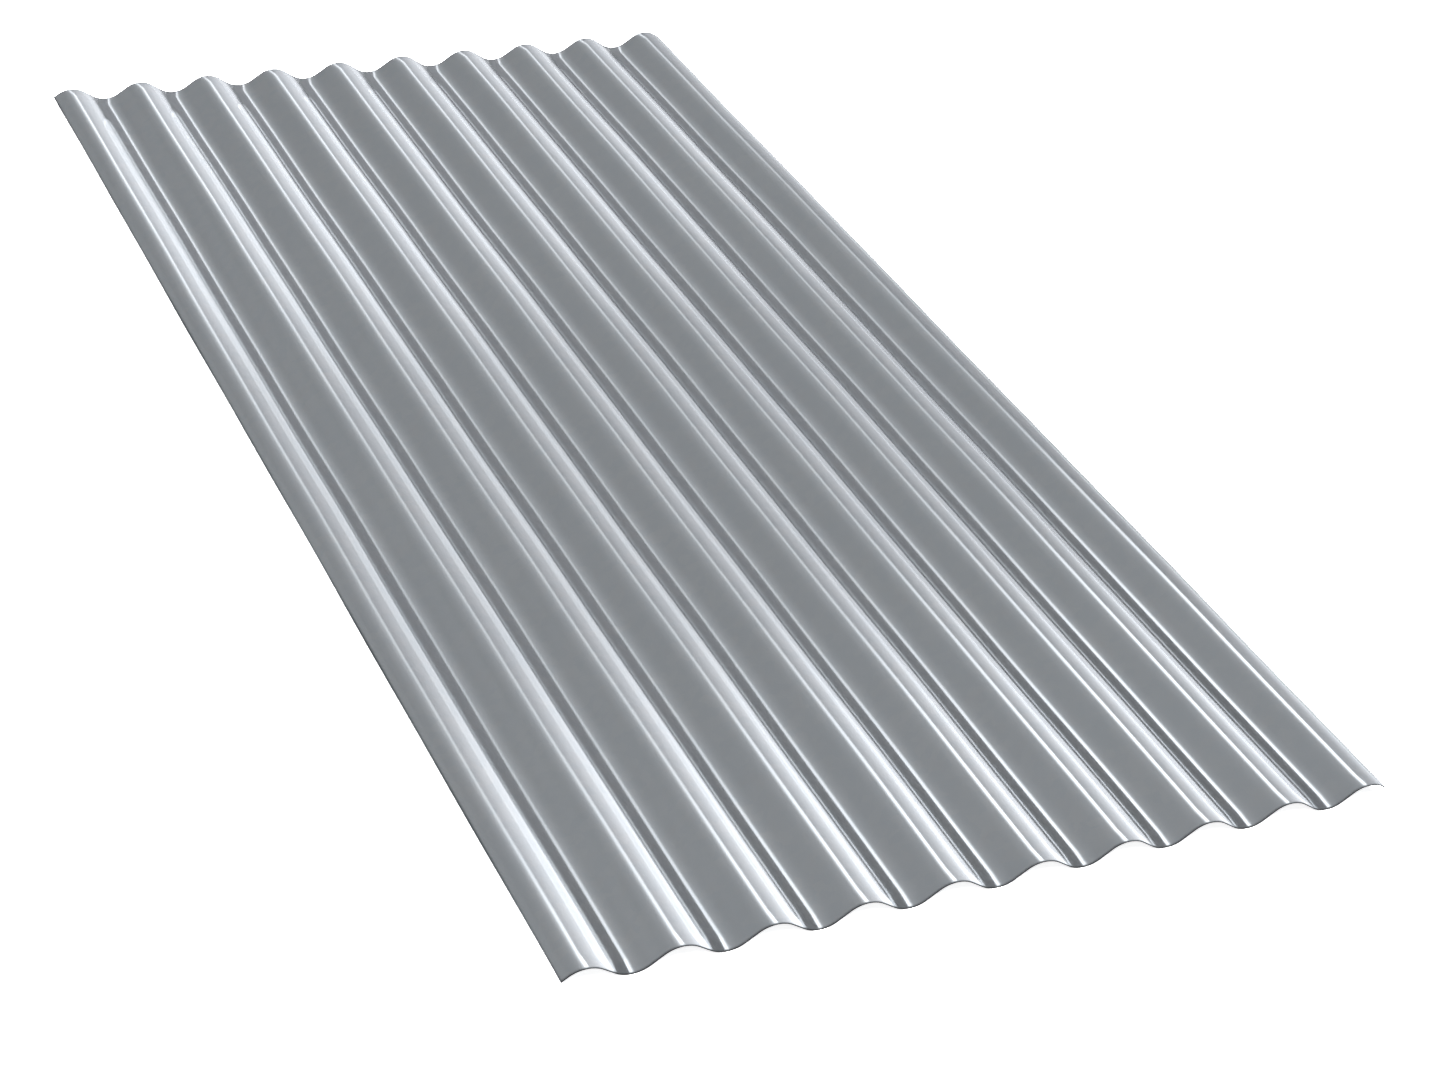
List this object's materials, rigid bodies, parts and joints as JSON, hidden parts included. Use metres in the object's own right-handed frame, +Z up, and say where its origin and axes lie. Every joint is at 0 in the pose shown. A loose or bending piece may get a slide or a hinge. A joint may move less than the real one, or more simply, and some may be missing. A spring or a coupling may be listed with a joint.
{
  "type": "corrugated metal sheet",
  "caption": "Plain galvanised steel sheet rolled into shallow round corrugations, with straight lips at both long edges for lapping.",
  "frame": {"origin": "middle of the sheet's footprint, on the plane that the undersides of the troughs rest on", "axes": "+X across the corrugations, +Y along them, +Z up out of the weather face"},
  "size_m": [0.7246, 1.5, 0.016],
  "materials": {
    "galvanised_steel": "bright, smooth hot-dip galvanised steel, glossy, with a very faint grain from the rolls"
  },
  "bodies": {
    "root": {"corrugated_sheet": "galvanised_steel"}
  },
  "joints": []
}
